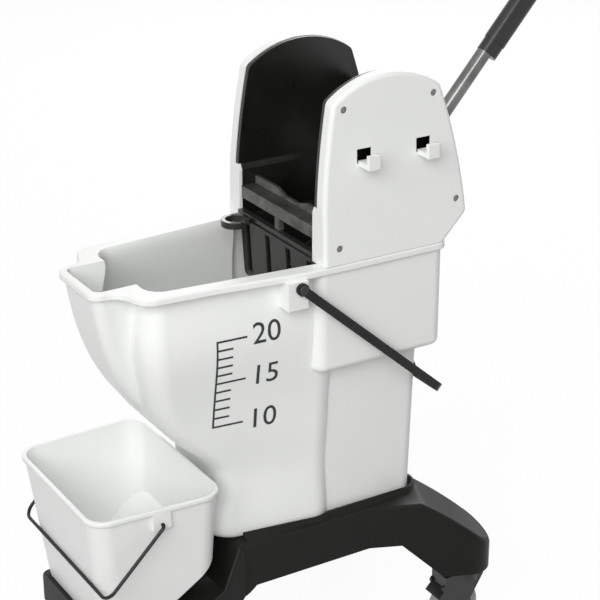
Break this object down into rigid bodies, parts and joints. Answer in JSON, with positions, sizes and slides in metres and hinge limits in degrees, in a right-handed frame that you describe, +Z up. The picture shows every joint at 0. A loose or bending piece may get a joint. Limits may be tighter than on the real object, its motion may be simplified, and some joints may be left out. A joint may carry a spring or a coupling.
{
  "type": "mop bucket with wringer",
  "caption": "White mop bucket on a black castored base, with a lever press wringer hung on its rim, a swinging bail and a small pail on a front tray.",
  "frame": {"origin": "on the floor under the middle of the whole length and width", "axes": "+Z up, the pouring spout and the small pail towards -Y, the lever leaning towards +Y, +X to the left of someone who stands behind the lever and faces the spout"},
  "size_m": [0.344, 0.773, 0.9127],
  "materials": {
    "bucket_plastic": "semi-gloss moulded",
    "base_plastic": "satin moulded",
    "black_plastic": "satin moulded",
    "wire_black": "gloss coat",
    "tube_chrome": "polished",
    "grip_rubber": "satin",
    "zinc_steel": "zinc plated",
    "fork_black": "satin",
    "hub_plastic": "moulded",
    "wheel_tyre": "non-marking",
    "bush_plastic": "acetal"
  },
  "bodies": {
    "frame": {"base_frame": "base_plastic", "bucket_shell": "bucket_plastic", "bucket_screws": "zinc_steel", "bail_pivots": "black_plastic", "front_left_stem": "zinc_steel", "front_right_stem": "zinc_steel", "rear_left_stem": "zinc_steel", "rear_right_stem": "zinc_steel"},
    "bucket_bail": {"bucket_bail": "black_plastic", "bail_grip": "black_plastic"},
    "wringer": {"wringer_basket": "black_plastic", "right_cheek": "black_plastic", "left_cheek": "black_plastic", "right_cover": "bucket_plastic", "left_cover": "bucket_plastic", "right_cover_screws": "zinc_steel", "left_cover_screws": "zinc_steel", "foot_screws": "zinc_steel", "front_jaw": "black_plastic", "jaw_screws": "zinc_steel", "lever_axle": "zinc_steel"},
    "press_lever": {"lever_hub": "black_plastic", "lever_tube": "tube_chrome", "lever_grip": "grip_rubber", "socket_bolts": "zinc_steel", "press_plate": "black_plastic", "right_bush": "bush_plastic", "left_bush": "bush_plastic", "plate_bolts": "zinc_steel"},
    "pail": {"front_pail": "bucket_plastic"},
    "pail_bail": {"pail_bail": "wire_black"},
    "front_left_fork": {"front_left_fork": "fork_black", "front_left_rivet": "zinc_steel"},
    "front_left_wheel": {"front_left_hub": "hub_plastic", "front_left_tyre": "wheel_tyre"},
    "front_right_fork": {"front_right_fork": "fork_black", "front_right_rivet": "zinc_steel"},
    "front_right_wheel": {"front_right_hub": "hub_plastic", "front_right_tyre": "wheel_tyre"},
    "rear_left_fork": {"rear_left_fork": "fork_black", "rear_left_rivet": "zinc_steel"},
    "rear_left_wheel": {"rear_left_hub": "hub_plastic", "rear_left_tyre": "wheel_tyre"},
    "rear_right_fork": {"rear_right_fork": "fork_black", "rear_right_rivet": "zinc_steel"},
    "rear_right_wheel": {"rear_right_hub": "hub_plastic", "rear_right_tyre": "wheel_tyre"}
  },
  "joints": [
    {"name": "bucket_bail_swing", "type": "hinge", "parent": "frame", "child": "bucket_bail", "pos_m": [0, -0.08451, 0.586], "axis": [1, 0, 0], "range_deg": [0, 52]},
    {"name": "wringer_lift", "type": "slide", "parent": "frame", "child": "wringer", "axis": [0, 0, 1], "range_m": [0, 0.25]},
    {"name": "lever_press", "type": "hinge", "parent": "wringer", "child": "press_lever", "pos_m": [0, 0.15849, 0.661], "axis": [1, 0, 0], "range_deg": [0, 85]},
    {"name": "pail_lift", "type": "slide", "parent": "frame", "child": "pail", "axis": [0, -0.8, 0.6], "range_m": [0, 0.2]},
    {"name": "pail_bail_swing", "type": "hinge", "parent": "pail", "child": "pail_bail", "pos_m": [0, -0.28951, 0.302], "axis": [-1, 0, 0], "range_deg": [0, 115]},
    {"name": "front_left_swivel", "type": "hinge", "parent": "frame", "child": "front_left_fork", "pos_m": [-0.105, -0.30351, 0.099], "axis": [0, 0, 1], "continuous": true},
    {"name": "front_left_spin", "type": "hinge", "parent": "front_left_fork", "child": "front_left_wheel", "pos_m": [-0.105, -0.32351, 0.0375], "axis": [1, 0, 0], "continuous": true},
    {"name": "front_right_swivel", "type": "hinge", "parent": "frame", "child": "front_right_fork", "pos_m": [0.105, -0.30351, 0.099], "axis": [0, 0, 1], "continuous": true},
    {"name": "front_right_spin", "type": "hinge", "parent": "front_right_fork", "child": "front_right_wheel", "pos_m": [0.105, -0.32351, 0.0375], "axis": [1, 0, 0], "continuous": true},
    {"name": "rear_left_swivel", "type": "hinge", "parent": "frame", "child": "rear_left_fork", "pos_m": [-0.138, 0.18849, 0.099], "axis": [0, 0, 1], "continuous": true},
    {"name": "rear_left_spin", "type": "hinge", "parent": "rear_left_fork", "child": "rear_left_wheel", "pos_m": [-0.138, 0.16849, 0.0375], "axis": [1, 0, 0], "continuous": true},
    {"name": "rear_right_swivel", "type": "hinge", "parent": "frame", "child": "rear_right_fork", "pos_m": [0.138, 0.18849, 0.099], "axis": [0, 0, 1], "continuous": true},
    {"name": "rear_right_spin", "type": "hinge", "parent": "rear_right_fork", "child": "rear_right_wheel", "pos_m": [0.138, 0.16849, 0.0375], "axis": [1, 0, 0], "continuous": true}
  ]
}
